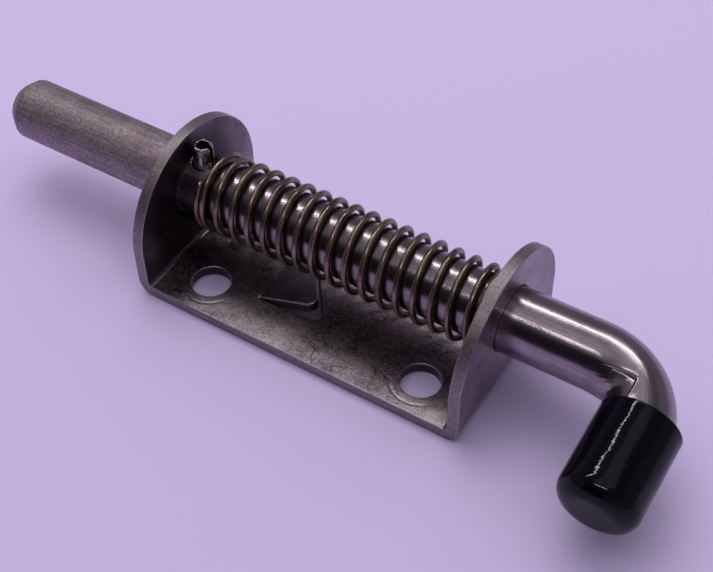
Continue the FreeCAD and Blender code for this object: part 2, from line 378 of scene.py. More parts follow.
@dataclass(frozen=True)
class SheetSteel:
    """Tumbled steel sheet with an oil film: dark and satin, with a fine warm grain, paler sheared edges and
    painted shade in the holes and round the bores of the ears.
    """

    face: str = "#94898E"
    shade: str = "#5E545A"
    edge: str = "#A3979A"
    fleck: str = "#B8ABB1"
    scratch: str = "#2C262C"
    # Painted shade: colour of the ears' inner faces round the bores, where the bolt and spring shade them.
    ear_shade: str = "#231D22"
    # Painted shade: colour of the walls of the punched holes, which lie in shade.
    hole: str = "#4A4146"
    roughness: tuple[float, float] = (0.22, 0.46)
    edge_roughness: float = 0.12
    grain_mm: float = 0.28
    grain_length_mm: float = 0.55
    cloud_mm: float = 7.0
    tear_mm: float = 0.32
    scratch_wander_mm: float = 8.0
    scratch_width: float = 0.014
    # Painted shade on the ears' inner faces fades out between these distances from the bore axis.
    ear_shade_from_mm: float = 6.0
    ear_shade_to_mm: float = 21.0
    ear_skin_mm: tuple[float, float] = (2.5, 1.5)
    ring_radius_mm: float = 5.9
    ring_width_mm: float = 0.5
    ring_depth_mm: float = 0.1
    pit_depth_mm: float = 0.05

    def material(self, hole_x: float, hole_y: float, bore_height: float, ear_x: float) -> bpy.types.Material:
        """Build the finish with a punch mark round each screw hole and painted shade inside the ears, darkest
        round the bores.

        Args:
            hole_x: Distance of the holes from the middle, along the bolt.
            hole_y: Distance of the holes from the middle, across it.
            bore_height: Height of the bores in the ears.
            ear_x: Middle of an ear's thickness, along the bolt.

        Returns:
            The material.
        """
        material, tree = blank_material("oiled_sheet_steel")
        place = add_node(tree, "ShaderNodeTexCoord", {}).outputs["Object"]
        fine, long = per_metre(self.grain_mm), per_metre(self.grain_length_mm)
        rolled = add_node(tree, "ShaderNodeMapping", {"Vector": place, "Scale": (long, fine, fine)})
        grain = add_node(tree, "ShaderNodeTexNoise", {
            "Vector": rolled.outputs[0], "Scale": 1.0, "Detail": 4.0, "Roughness": 0.7})
        clouds = add_node(tree, "ShaderNodeTexNoise", {
            "Vector": place, "Scale": per_metre(self.cloud_mm), "Detail": 4.0})
        sheared = add_node(tree, "ShaderNodeAttribute", {}, attribute_name="sheared").outputs["Fac"]
        cloudy = add_node(tree, "ShaderNodeMapRange", {
            "Value": clouds.outputs["Fac"], "From Min": 0.35, "From Max": 0.7})
        skin = add_node(tree, "ShaderNodeMix", {
            "Factor": cloudy.outputs[0], MIX_A: linear(self.face), MIX_B: linear(self.shade)},
            data_type="RGBA")
        speckle = add_node(tree, "ShaderNodeMapRange", {
            "Value": grain.outputs["Fac"], "From Min": 0.5, "From Max": 0.72})
        flecked = add_node(tree, "ShaderNodeMix", {
            "Factor": speckle.outputs[0], MIX_A: skin.outputs[MIXED], MIX_B: linear(self.fleck)},
            data_type="RGBA")
        wander = add_node(tree, "ShaderNodeTexNoise", {
            "Vector": place, "Scale": per_metre(self.scratch_wander_mm), "Detail": 1.0, "Distortion": 0.8})
        contour = add_node(tree, "ShaderNodeMath", {0: wander.outputs["Fac"], 1: 0.5}, operation="SUBTRACT")
        beside = add_node(tree, "ShaderNodeMath", {0: contour.outputs[0]}, operation="ABSOLUTE")
        faint = add_node(tree, "ShaderNodeMapRange", {
            "Value": clouds.outputs["Fac"], "From Min": 0.48, "From Max": 0.56, "To Max": 0.8})
        scratch = add_node(tree, "ShaderNodeMapRange", {
            "Value": beside.outputs[0], "From Max": self.scratch_width,
            "To Min": faint.outputs[0], "To Max": 0.0})
        scratched = add_node(tree, "ShaderNodeMix", {
            "Factor": scratch.outputs[0], MIX_A: flecked.outputs[MIXED], MIX_B: linear(self.scratch)},
            data_type="RGBA")
        tears = add_node(tree, "ShaderNodeTexNoise", {
            "Vector": place, "Scale": per_metre(self.tear_mm), "Detail": 3.0, "Roughness": 0.7})
        tear_share = add_node(tree, "ShaderNodeMapRange", {
            "Value": tears.outputs["Fac"], "From Min": 0.34, "From Max": 0.72})
        rim = add_node(tree, "ShaderNodeMix", {
            "Factor": tear_share.outputs[0], MIX_A: linear(self.edge), MIX_B: linear(self.shade)},
            data_type="RGBA")
        mirrored = add_node(tree, "ShaderNodeVectorMath", {0: place}, operation="ABSOLUTE")
        across = add_node(tree, "ShaderNodeVectorMath", {0: place, 1: (0, 1, 1)}, operation="MULTIPLY")
        from_bore = add_node(tree, "ShaderNodeVectorMath", {
            0: across.outputs[0], 1: (0, 0, bore_height)}, operation="DISTANCE").outputs["Value"]
        along = add_node(tree, "ShaderNodeSeparateXYZ", {0: mirrored.outputs[0]}).outputs["X"]
        skin_from, skin_to = (ear_x - depth * MM for depth in self.ear_skin_mm)
        inner = add_node(tree, "ShaderNodeMapRange", {
            "Value": along, "From Min": skin_from, "From Max": skin_to})
        inside = add_node(tree, "ShaderNodeMath", {0: along, 1: ear_x}, operation="LESS_THAN")
        ear = add_node(tree, "ShaderNodeMath", {
            0: inner.outputs[0], 1: inside.outputs[0]}, operation="MULTIPLY")
        # Painted shade: the ears' inner faces darken towards the bore, where the bolt and spring shade them.
        ear_shade = add_node(tree, "ShaderNodeMapRange", {
            "Value": from_bore, "From Min": self.ear_shade_from_mm * MM, "From Max": self.ear_shade_to_mm * MM,
            "To Min": ear.outputs[0], "To Max": 0.0}, interpolation_type="SMOOTHSTEP")
        ear_shaded = add_node(tree, "ShaderNodeMix", {
            "Factor": ear_shade.outputs[0], MIX_A: scratched.outputs[MIXED], MIX_B: linear(self.ear_shade)},
            data_type="RGBA")
        trimmed = add_node(tree, "ShaderNodeMix", {
            "Factor": sheared, MIX_A: ear_shaded.outputs[MIXED], MIX_B: rim.outputs[MIXED]}, data_type="RGBA")
        punched = add_node(tree, "ShaderNodeAttribute", {}, attribute_name="punched").outputs["Fac"]
        # Painted shade: the walls of the punched holes take a dark colour, as they lie in shade.
        colour = add_node(tree, "ShaderNodeMix", {
            "Factor": punched, MIX_A: trimmed.outputs[MIXED], MIX_B: linear(self.hole)}, data_type="RGBA")
        flat = add_node(tree, "ShaderNodeVectorMath", {
            0: mirrored.outputs[0], 1: (1, 1, 0)}, operation="MULTIPLY")
        away = add_node(tree, "ShaderNodeVectorMath", {
            0: flat.outputs[0], 1: (hole_x, hole_y, 0)}, operation="DISTANCE").outputs["Value"]
        offset = add_node(tree, "ShaderNodeMath", {
            0: away, 1: self.ring_radius_mm * MM}, operation="SUBTRACT")
        width = add_node(tree, "ShaderNodeMath", {0: offset.outputs[0]}, operation="ABSOLUTE")
        ring = add_node(tree, "ShaderNodeMapRange", {
            "Value": width.outputs[0], "From Min": 0.0, "From Max": self.ring_width_mm * MM,
            "To Min": 1.0, "To Max": 0.0}, interpolation_type="SMOOTHSTEP")
        roughen = add_node(tree, "ShaderNodeMapRange", {
            "Value": grain.outputs["Fac"], "From Min": 0.3, "From Max": 0.7,
            "To Min": self.roughness[0], "To Max": self.roughness[1]})
        edge_rough = add_node(tree, "ShaderNodeMath", {
            0: sheared, 1: self.edge_roughness, 2: roughen.outputs[0]}, operation="MULTIPLY_ADD")
        torn = add_node(tree, "ShaderNodeMapRange", {"Value": sheared, "To Min": 0.18, "To Max": 0.6})
        surface = add_node(tree, "ShaderNodeMix", {
            "Factor": sheared, "A": grain.outputs["Fac"], "B": tears.outputs["Fac"]})
        pitted = add_node(tree, "ShaderNodeBump", {
            "Height": surface.outputs[0], "Strength": torn.outputs[0], "Distance": self.pit_depth_mm * MM})
        relief = add_node(tree, "ShaderNodeBump", {
            "Height": ring.outputs[0], "Strength": 0.3, "Distance": -self.ring_depth_mm * MM,
            "Normal": pitted.outputs[0]})
        shader = add_node(tree, "ShaderNodeBsdfPrincipled", {
            "Base Color": colour.outputs[MIXED], "Metallic": 1.0, "Roughness": edge_rough.outputs[0],
            "Normal": relief.outputs[0]})
        add_node(tree, "ShaderNodeOutputMaterial", {"Surface": shader.outputs[0]})
        return material


@dataclass(frozen=True)
class WornEdgeHighlight:
    """Broken edges of the sheet, where tumbling rubbed the oil film away and a painted highlight makes them
    paler: a paler, smoother line.
    """

    # Painted highlight in part: paler than the sheet, for the light the broken edges catch, besides their
    # wear.
    colour: str = "#A0969A"
    roughness: tuple[float, float] = (0.34, 0.42)
    grain_mm: float = 0.6

    def material(self) -> bpy.types.Material:
        """Build the finish over object coordinates.

        Returns:
            The material.
        """
        material, tree = blank_material("worn_sheet_edge_highlight")
        place = add_node(tree, "ShaderNodeTexCoord", {}).outputs["Object"]
        grain = add_node(tree, "ShaderNodeTexNoise", {
            "Vector": place, "Scale": per_metre(self.grain_mm), "Detail": 3.0})
        rough = add_node(tree, "ShaderNodeMapRange", {
            "Value": grain.outputs["Fac"], "From Min": 0.3, "From Max": 0.7,
            "To Min": self.roughness[0], "To Max": self.roughness[1]})
        shader = add_node(tree, "ShaderNodeBsdfPrincipled", {
            "Base Color": linear(self.colour), "Metallic": 1.0, "Roughness": rough.outputs[0]})
        add_node(tree, "ShaderNodeOutputMaterial", {"Surface": shader.outputs[0]})
        return material


@dataclass(frozen=True)
class SpringWire:
    """Drawn spring wire with a thin oil film: brownish gold, glossy, with faint drawing lines."""

    bright: str = "#93806F"
    dark: str = "#58493F"
    roughness: tuple[float, float] = (0.22, 0.35)
    patch_mm: float = 4.0
    line_mm: float = 0.16
    line_depth_mm: float = 0.02

    def material(self) -> bpy.types.Material:
        """Build the finish over the wire's straightened coordinates.

        Returns:
            The material.
        """
        material, tree = blank_material("drawn_spring_wire")
        straight = add_node(tree, "ShaderNodeAttribute", {}, attribute_name="straight").outputs["Vector"]
        patches = add_node(tree, "ShaderNodeTexNoise", {
            "Vector": straight, "Scale": per_metre(self.patch_mm), "Detail": 4.0})
        fine, long = per_metre(self.line_mm), per_metre(self.patch_mm)
        drawn = add_node(tree, "ShaderNodeMapping", {"Vector": straight, "Scale": (long, fine, fine)})
        lines = add_node(tree, "ShaderNodeTexNoise", {
            "Vector": drawn.outputs[0], "Scale": 1.0, "Detail": 2.0})
        share = add_node(tree, "ShaderNodeMapRange", {
            "Value": patches.outputs["Fac"], "From Min": 0.35, "From Max": 0.7})
        colour = add_node(tree, "ShaderNodeMix", {
            "Factor": share.outputs[0], MIX_A: linear(self.bright), MIX_B: linear(self.dark)},
            data_type="RGBA")
        rough = add_node(tree, "ShaderNodeMapRange", {
            "Value": lines.outputs["Fac"], "From Min": 0.3, "From Max": 0.7,
            "To Min": self.roughness[0], "To Max": self.roughness[1]})
        relief = add_node(tree, "ShaderNodeBump", {
            "Height": lines.outputs["Fac"], "Strength": 0.2, "Distance": self.line_depth_mm * MM})
        shader = add_node(tree, "ShaderNodeBsdfPrincipled", {
            "Base Color": colour.outputs[MIXED], "Metallic": 1.0, "Roughness": rough.outputs[0],
            "Normal": relief.outputs[0]})
        add_node(tree, "ShaderNodeOutputMaterial", {"Surface": shader.outputs[0]})
        return material


@dataclass(frozen=True)
class RolledPinSteel:
    """Rolled spring steel strip: bright and smooth outside, with painted shade making its bore black."""

    colour: str = "#B0A8AA"
    dark: str = "#6E6568"
    # Painted shade: near-black colour of the bore.
    bore: str = "#141113"
    roughness: tuple[float, float] = (0.18, 0.34)
    patch_mm: float = 1.5

    def material(self) -> bpy.types.Material:
        """Build the finish over object coordinates.

        Returns:
            The material.
        """
        material, tree = blank_material("rolled_pin_steel")
        place = add_node(tree, "ShaderNodeTexCoord", {}).outputs["Object"]
        patches = add_node(tree, "ShaderNodeTexNoise", {
            "Vector": place, "Scale": per_metre(self.patch_mm), "Detail": 4.0})
        share = add_node(tree, "ShaderNodeMapRange", {
            "Value": patches.outputs["Fac"], "From Min": 0.4, "From Max": 0.7})
        skin = add_node(tree, "ShaderNodeMix", {
            "Factor": share.outputs[0], MIX_A: linear(self.colour), MIX_B: linear(self.dark)},
            data_type="RGBA")
        # Painted shade: the faces of the bore take a near-black colour, as the bore lies in shade.
        inside = add_node(tree, "ShaderNodeAttribute", {}, attribute_name="inside").outputs["Fac"]
        colour = add_node(tree, "ShaderNodeMix", {
            "Factor": inside, MIX_A: skin.outputs[MIXED], MIX_B: linear(self.bore)}, data_type="RGBA")
        rough = add_node(tree, "ShaderNodeMapRange", {
            "Value": patches.outputs["Fac"], "To Min": self.roughness[0], "To Max": self.roughness[1]})
        shader = add_node(tree, "ShaderNodeBsdfPrincipled", {
            "Base Color": colour.outputs[MIXED], "Metallic": 1.0, "Roughness": rough.outputs[0]})
        add_node(tree, "ShaderNodeOutputMaterial", {"Surface": shader.outputs[0]})
        return material


@dataclass(frozen=True)
class DippedVinyl:
    """Dip moulded black vinyl: deep gloss with a soft, slightly lumpy skin."""

    colour: str = "#05050C"
    gloss: float = 0.2
    roughness: tuple[float, float] = (0.04, 0.09)
    lump_mm: float = 1.0
    lump_depth_mm: float = 0.1
    pore_mm: float = 0.35

    def material(self) -> bpy.types.Material:
        """Build the finish over object coordinates.

        Returns:
            The material.
        """
        material, tree = blank_material("dipped_vinyl")
        place = add_node(tree, "ShaderNodeTexCoord", {}).outputs["Object"]
        lumps = add_node(tree, "ShaderNodeTexNoise", {
            "Vector": place, "Scale": per_metre(self.lump_mm), "Detail": 2.0})
        pores = add_node(tree, "ShaderNodeTexNoise", {
            "Vector": place, "Scale": per_metre(self.pore_mm), "Detail": 2.0})
        rough = add_node(tree, "ShaderNodeMapRange", {
            "Value": pores.outputs["Fac"], "From Min": 0.3, "From Max": 0.7,
            "To Min": self.roughness[0], "To Max": self.roughness[1]})
        relief = add_node(tree, "ShaderNodeBump", {
            "Height": lumps.outputs["Fac"], "Strength": 0.28, "Distance": self.lump_depth_mm * MM})
        shader = add_node(tree, "ShaderNodeBsdfPrincipled", {
            "Base Color": linear(self.colour), "Roughness": rough.outputs[0],
            "Specular IOR Level": self.gloss, "Normal": relief.outputs[0]})
        add_node(tree, "ShaderNodeOutputMaterial", {"Surface": shader.outputs[0]})
        return material


@dataclass
class BoltAxis:
    """Line that the bolt slides and turns about, and the way its handle lies."""

    height: float
    droop_deg: float = 10.0

    @property
    def grip(self) -> np.ndarray:
        """Direction of the handle, out to the front and a little down."""
        droop = math.radians(self.droop_deg)
        return np.array([0, -math.cos(droop), -math.sin(droop)])

    @property
    def lift(self) -> np.ndarray:
        """Normal of the plane that the bar is bent in, pointing up."""
        droop = math.radians(self.droop_deg)
        return np.array([0, -math.sin(droop), math.cos(droop)])

    def place(self, along: np.ndarray, out: np.ndarray, up: np.ndarray) -> np.ndarray:
        """Carry coordinates along the bolt, along the handle and up from their plane into the frame.

        Args:
            along: Distances along the bolt.
            out: Distances along the handle.
            up: Distances above the plane of the bend.

        Returns:
            Points with a last axis of three.
        """
        flat = np.stack([along, np.zeros_like(along), np.full_like(along, self.height)], axis=-1)
        return flat + out[..., None] * self.grip + up[..., None] * self.lift


@dataclass
class BentBar:
    """The bolt: round bar with a chamfered nose, a cross hole under its pin and a handle bent at its end."""

    axis: BoltAxis
    radius: float
    nose_x: float
    handle_x: float
    pin_x: float
    ear_outer_x: float
    handle_length: float = 25.9 * MM
    bend_radius: float = 12.4 * MM
    chamfer_length: float = 2.6 * MM
    chamfer_depth: float = 2.0 * MM
    chamfer_round: float = 0.3 * MM
    rubbed_fade: float = 4.0 * MM
    # Mark of the bending anvil.
    anvil_corner: float = 3.85 * MM
    anvil_groove: float = 6.25 * MM
    anvil_share: float = 0.6
    anvil_edge: float = 0.24 * MM
    anvil_end: float = 2.8 * MM
    anvil_slant: float = 0.12
    anvil_round: float = 0.9 * MM
    anvil_fillet: float = 1.6 * MM
    anvil_fade: tuple[float, float] = (5.0 * MM, 11.0 * MM)
    lip: float = 0.06 * MM
    lip_full_step: float = 0.5 * MM
    slit: float = 0.42 * MM
    slit_width: float = 0.14 * MM
    slit_length: float = 5.6 * MM
    slit_above: float = 0.2
    chatter: float = 0.008 * MM
    chatter_pitch: float = 0.6 * MM
    # Cross hole.
    pin_bore: float = 1.1 * MM
    pin_radius: float = 1.985 * MM
    countersink: float = 0.45 * MM
    countersink_width: float = 0.7 * MM
    well_edge: float = 0.3 * MM
    well_share: float = 0.6
    # Rows and columns of the mesh.
    hub_share: float = 0.02
    row_gap: float = 0.1 * MM
    pin_rows: float = 3.9 * MM
    bend_lead: float = 1.9 * MM
    columns: int = 256
    finish: DrawnBarSteel = field(default_factory=DrawnBarSteel)

    def stations(self) -> tuple[np.ndarray, np.ndarray]:
        """Distances along the bar and its radius there.

        The nose runs from the middle of its end face, round a corner, up the chamfer's cone and
        round a second corner into the side. Rows are dense under the pin and in the bend.

        Returns:
            Distances from the nose, and radii.
        """
        end_radius = self.radius - self.chamfer_depth
        slope = np.array([self.chamfer_length, self.chamfer_depth])
        slope = self.chamfer_round * slope / np.hypot(*slope)
        end_corner, side_corner = np.array([0, end_radius]), np.array([self.chamfer_length, self.radius])
        face = np.linspace([0, self.hub_share * self.radius], end_corner - [0, self.chamfer_round], 8)
        first = eased_corner(face[-1], end_corner, end_corner + slope, 6)
        second = eased_corner(side_corner - slope, side_corner, side_corner + [self.chamfer_round, 0], 8)
        nose, nose_radii = np.concatenate([face, first[1:], second]).T
        bend_start = self.handle_x - self.bend_radius - self.nose_x
        bend_end = bend_start + self.bend_radius * math.pi / 2
        grip_end = bend_end + self.handle_length - self.bend_radius
        pin_start = self.pin_x - self.nose_x - self.pin_rows
        pin_end = pin_start + 2 * self.pin_rows
        lead = bend_start - self.bend_lead
        body = np.concatenate([
            np.linspace(nose[-1] + 3 * self.row_gap, pin_start - self.row_gap, 20),
            np.linspace(pin_start, pin_end, 70),
            np.linspace(pin_end + 3 * self.row_gap, lead - self.row_gap, 24),
            np.linspace(lead, bend_end, 210),
            np.linspace(bend_end + 2 * self.row_gap, grip_end, 8),
        ])
        radii = np.full(len(body), self.radius)
        return np.concatenate([nose, body]), np.concatenate([nose_radii, radii])

    def centreline(self, distance: np.ndarray) -> tuple[np.ndarray, np.ndarray, np.ndarray]:
        """Where the bar's middle lies, as straight shaft, quarter circle and straight grip.

        Args:
            distance: Distances from the nose.

        Returns:
            Positions along the bolt and along the handle, and the angle turned in the bend.
        """
        start = self.handle_x - self.bend_radius - self.nose_x
        turned = np.clip((distance - start) / self.bend_radius, 0, math.pi / 2)
        past = np.maximum(distance - start - self.bend_radius * math.pi / 2, 0)
        along = self.nose_x + np.minimum(distance, start) + self.bend_radius * np.sin(turned)
        out = self.bend_radius * (1 - np.cos(turned)) + past
        return along, out, turned

    def pressed(self, along: np.ndarray, out: np.ndarray, rays: tuple[np.ndarray, ...],
                radius: np.ndarray) -> np.ndarray:
        """Radius of the skin where the bending anvil's grooved corner was pressed into it.

        Along each ray from the bar's middle, the anvil leaves what lies in either of two round
        grooves, one along the shaft and one along the grip, which a fillet joins. The skin steps down
        to them inside the anvil's rounded corner and fades back along the shaft. Next to the corner
        there are a low lip along the edge, a folded slit under the lip and fine chatter lines.

        Args:
            along: Middle of the bar along the bolt.
            out: Middle of the bar along the handle.
            rays: Parts of each ray along the bolt, along the handle and up.
            radius: Radius of the unpressed skin.

        Returns:
            Radius of the pressed skin.
        """
        ray_along, ray_out, ray_up = rays
        smallest = 1e-9

        def leaves(offset: np.ndarray, ray: np.ndarray) -> np.ndarray:
            """Distance at which a ray meets a round groove, as the larger root of its quadratic.

            Args:
                offset: Distance of the bar's middle from the groove's middle.
                ray: Part of each ray along that offset.

            Returns:
                Distances from the bar's middle.
            """
            square = ray ** 2 + ray_up ** 2
            inside = (offset * ray) ** 2 - square * (offset ** 2 - self.anvil_groove ** 2)
            return (np.sqrt(np.maximum(inside, 0)) - offset * ray) / np.maximum(square, smallest)

        groove = soft_max(leaves(out, ray_out), leaves(along - self.handle_x, ray_along), self.anvil_fillet)
        from_top = out + radius * ray_out - self.anvil_corner
        from_end = self.handle_x - self.anvil_end - along - radius * ray_along - self.anvil_slant * from_top
        depth = -soft_max(-from_top, -from_end, self.anvil_round)
        inside = smoothstep(-self.anvil_edge / 2, self.anvil_edge / 2, depth)
        inside = inside * (1 - smoothstep(*self.anvil_fade, from_end))
        step = self.anvil_share * (np.minimum(groove, radius) - radius)
        near_end = 1 - smoothstep(self.slit_length / 2, self.slit_length, from_end)
        edge = np.exp(-((depth + self.anvil_edge) / self.anvil_edge) ** 2) * near_end
        edge = edge * np.clip(-step / self.lip_full_step, 0, 1)
        fold = np.exp(-((depth - self.slit_width) / self.slit_width) ** 2) * (from_end > from_top)
        fold = fold * inside * near_end * (ray_up > self.slit_above)
        lines = self.chatter * np.sin(2 * math.pi * from_top / self.chatter_pitch) * inside
        return radius + inside * step + self.lip * edge - self.slit * fold + lines

    def sunk(self, points: np.ndarray) -> np.ndarray:
        """How far the skin drops at the cross hole: a soft countersink, and deep inside the pin.

        Args:
            points: Points of the skin.

        Returns:
            Drop along Z, towards the axis.
        """
        away = np.hypot(points[..., 0] - self.pin_x, points[..., 1])
        well_depth = self.well_share * self.radius
        outer = self.pin_radius + self.countersink_width
        rim = self.countersink * (1 - smoothstep(self.pin_radius, outer, away))
        well = well_depth * (1 - smoothstep(self.pin_bore, self.pin_bore + self.well_edge, away))
        height = points[..., 2] - self.axis.height
        return np.sign(height) * (rim + well) * (np.abs(height) > well_depth)

    def build(self) -> bpy.types.Object:
        """Sweep the round section along the bar's middle and press its marks in.

        Returns:
            The dressed bar.
        """
        distance, radius = self.stations()
        along, out, turned = self.centreline(distance)
        angle = np.linspace(0, 2 * math.pi, self.columns, endpoint=False)
        rays = (
            np.sin(turned)[:, None] * np.cos(angle),
            -np.cos(turned)[:, None] * np.cos(angle),
            np.ones_like(turned)[:, None] * np.sin(angle),
        )
        along, out = along[:, None], out[:, None]
        skin = self.pressed(along, out, rays, radius[:, None] * np.ones_like(angle))
        rings = self.axis.place(along + skin * rays[0], out + skin * rays[1], skin * rays[2])
        rings[..., 2] -= self.sunk(rings)
        ends = self.axis.place(along[[0, -1], 0], out[[0, -1], 0], np.zeros(2))
        piece = tube("bent_bar", rings, ends)
        unrolled = np.broadcast_to(distance[:, None], skin.shape)
        straight = np.stack([unrolled, skin * np.cos(angle), skin * np.sin(angle)], axis=-1)
        poles = np.array([[distance[0], 0, 0], [distance[-1], 0, 0]])
        stamp(piece, "straight", np.concatenate([straight.reshape(-1, 3), poles]))
        dull_end = -self.ear_outer_x - self.nose_x
        handle_from = self.ear_outer_x - self.nose_x
        material = self.finish.material(
            dull_end - self.rubbed_fade, dull_end + self.rubbed_fade, handle_from)
        dress(piece, material, Body.BOLT, "bolt_rod")
        return piece


@dataclass
class CoilSpring:
    """Compression spring: round wire coiled right-handed, with a closed turn at each end."""

    axis: BoltAxis
    start_x: float
    end_x: float
    travel: float
    bar_radius: float
    clearance: float = 0.5 * MM
    wire_radius: float = 0.625 * MM
    turns: float = 18.5
    closed_turns: float = 1.0
    easing_turns: float = 0.5
    closed_gap: float = 0.06 * MM
    start_deg: float = 130.0
    steps_per_turn: int = 60
    columns: int = 16
    finish: SpringWire = field(default_factory=SpringWire)

    @property
    def coil_radius(self) -> float:
        """Distance of the wire's middle from the bolt's axis."""
        return self.bar_radius + self.clearance + self.wire_radius

    def advance(self, turns: np.ndarray, span: float) -> np.ndarray:
        """Distance along the spring after some turns from a closed end.

        The pitch is the closed one for the first turn, eases linearly to the open one over half a
        turn and stays there.

        Args:
            turns: Turns from the end.
            span: Length between the wire's two ends, along the spring.

        Returns:
            Distances.
        """
        closed = 2 * self.wire_radius + self.closed_gap
        open_turns = self.turns - 2 * self.closed_turns - self.easing_turns
        open_pitch = (span - closed * (self.turns - open_turns)) / open_turns
        eased = np.clip(turns - self.closed_turns, 0, self.easing_turns)
        opened = eased ** 2 / (2 * self.easing_turns)
        opened = opened + np.maximum(turns - self.closed_turns - self.easing_turns, 0)
        return closed * turns + (open_pitch - closed) * opened

    def build(self) -> bpy.types.Object:
        """Carry the wire's round section along its helix.

        Returns:
            The dressed spring.
        """
        turns = np.linspace(0, self.turns, int(self.turns * self.steps_per_turn) + 1)
        first, last = self.start_x + self.wire_radius, self.end_x - self.wire_radius
        span = last - first
        left = first + self.advance(turns, span)
        right = last - self.advance(self.turns - turns, span)
        x = np.where(turns < self.turns / 2, left, right)
        angle = math.radians(self.start_deg) + 2 * math.pi * turns
        outward = np.stack([np.zeros_like(angle), np.cos(angle), np.sin(angle)], axis=-1)
        centre = np.stack([x, np.zeros_like(x), np.full_like(x, self.axis.height)], axis=-1)
        centre = centre + self.coil_radius * outward
        ahead = np.gradient(centre, axis=0)
        ahead /= np.linalg.norm(ahead, axis=1, keepdims=True)
        sideways = np.cross(ahead, outward)
        around = np.linspace(0, 2 * math.pi, self.columns, endpoint=False)
        wide, high = self.wire_radius * np.cos(around), self.wire_radius * np.sin(around)
        section = wide[None, :, None] * outward[:, None] + high[None, :, None] * sideways[:, None]
        piece = tube("coil_spring", centre[:, None] + section, centre[[0, -1]])
        length = np.concatenate([[0], np.cumsum(np.linalg.norm(np.diff(centre, axis=0), axis=1))])
        straight = np.stack(np.broadcast_arrays(length[:, None], wide, high), axis=-1)
        poles = np.array([[0, 0, 0], [length[-1], 0, 0]])
        stamp(piece, "straight", np.concatenate([straight.reshape(-1, 3), poles]))
        dress(piece, self.finish.material(), Body.SPRING, "spring")
        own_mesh(piece)
        return piece


@dataclass
class DippedCap:
    """Vinyl cap on the handle: a sleeve with a soft rim and a domed closed end."""

    axis: BoltAxis
    handle_x: float
    bar_radius: float
    radius: float
    start: float = 8.3 * MM
    length: float = 19.2 * MM
    rim_round: float = 0.45 * MM
    tuck: float = 0.3 * MM
    dome: float = 3.7 * MM
    dome_power: float = 2.2
    pole_radius: float = 0.1 * MM
    ripple: float = 0.05 * MM
    ripple_lobes: tuple[int, int] = (3, 5)
    ripple_lengths: tuple[float, float] = (11.0 * MM, 7.0 * MM)
    columns: int = 160
    finish: DippedVinyl = field(default_factory=DippedVinyl)

    def profile(self) -> tuple[np.ndarray, np.ndarray]:
        """Outline from the bar's skin at the rim, round it, along the side and over the end.

        The end is a superellipse, so the side runs into it with no corner.

        Returns:
            Distances from the rim and radii.
        """
        turn = np.linspace(0, math.pi / 2, 9)
        side = np.linspace(self.rim_round, self.length - self.dome, 60)[1:]
        share = np.sin(np.linspace(0, math.pi / 2, 40)[1:-1])
        dome = self.length - self.dome + self.dome * share
        dome_radius = self.radius - self.dome * (1 - (1 - share ** self.dome_power) ** (1 / self.dome_power))
        end_radius = np.linspace(dome_radius[-1], self.pole_radius, 12)[1:]
        face_radius = np.linspace(self.bar_radius - self.tuck, self.radius - self.rim_round, 4)[:-1]
        distance = np.concatenate([
            np.zeros(len(face_radius)), self.rim_round * (1 - np.cos(turn)), side, dome,
            np.full(len(end_radius), dome[-1])])
        radii = np.concatenate([
            face_radius, self.radius - self.rim_round * (1 - np.sin(turn)),
            np.full(len(side), self.radius), dome_radius, end_radius])
        return distance, radii

    def build(self) -> bpy.types.Object:
        """Turn the outline about the handle and ripple it a little, as dipping leaves it.

        Returns:
            The dressed cap.
        """
        distance, radii = self.profile()
        angle = np.linspace(0, 2 * math.pi, self.columns, endpoint=False)
        share = np.sin(math.pi * np.clip(distance / self.length, 0, 1))[:, None]
        few, many = self.ripple_lobes
        slow, quick = (2 * math.pi * distance[:, None] / length for length in self.ripple_lengths)
        waves = np.sin(few * angle + slow) + np.sin(many * angle - quick)
        radius = radii[:, None] - self.ripple * share * (0.5 + 0.25 * waves)
        out = self.start + distance[:, None] + np.zeros_like(angle)
        rings = self.axis.place(self.handle_x + radius * np.cos(angle), out, radius * np.sin(angle))
        ends = self.axis.place(np.full(2, self.handle_x), self.start + distance[[0, -1]], np.zeros(2))
        piece = tube("dipped_cap", rings, ends)
        dress(piece, self.finish.material(), Body.BOLT, "handle_cap")
        return piece


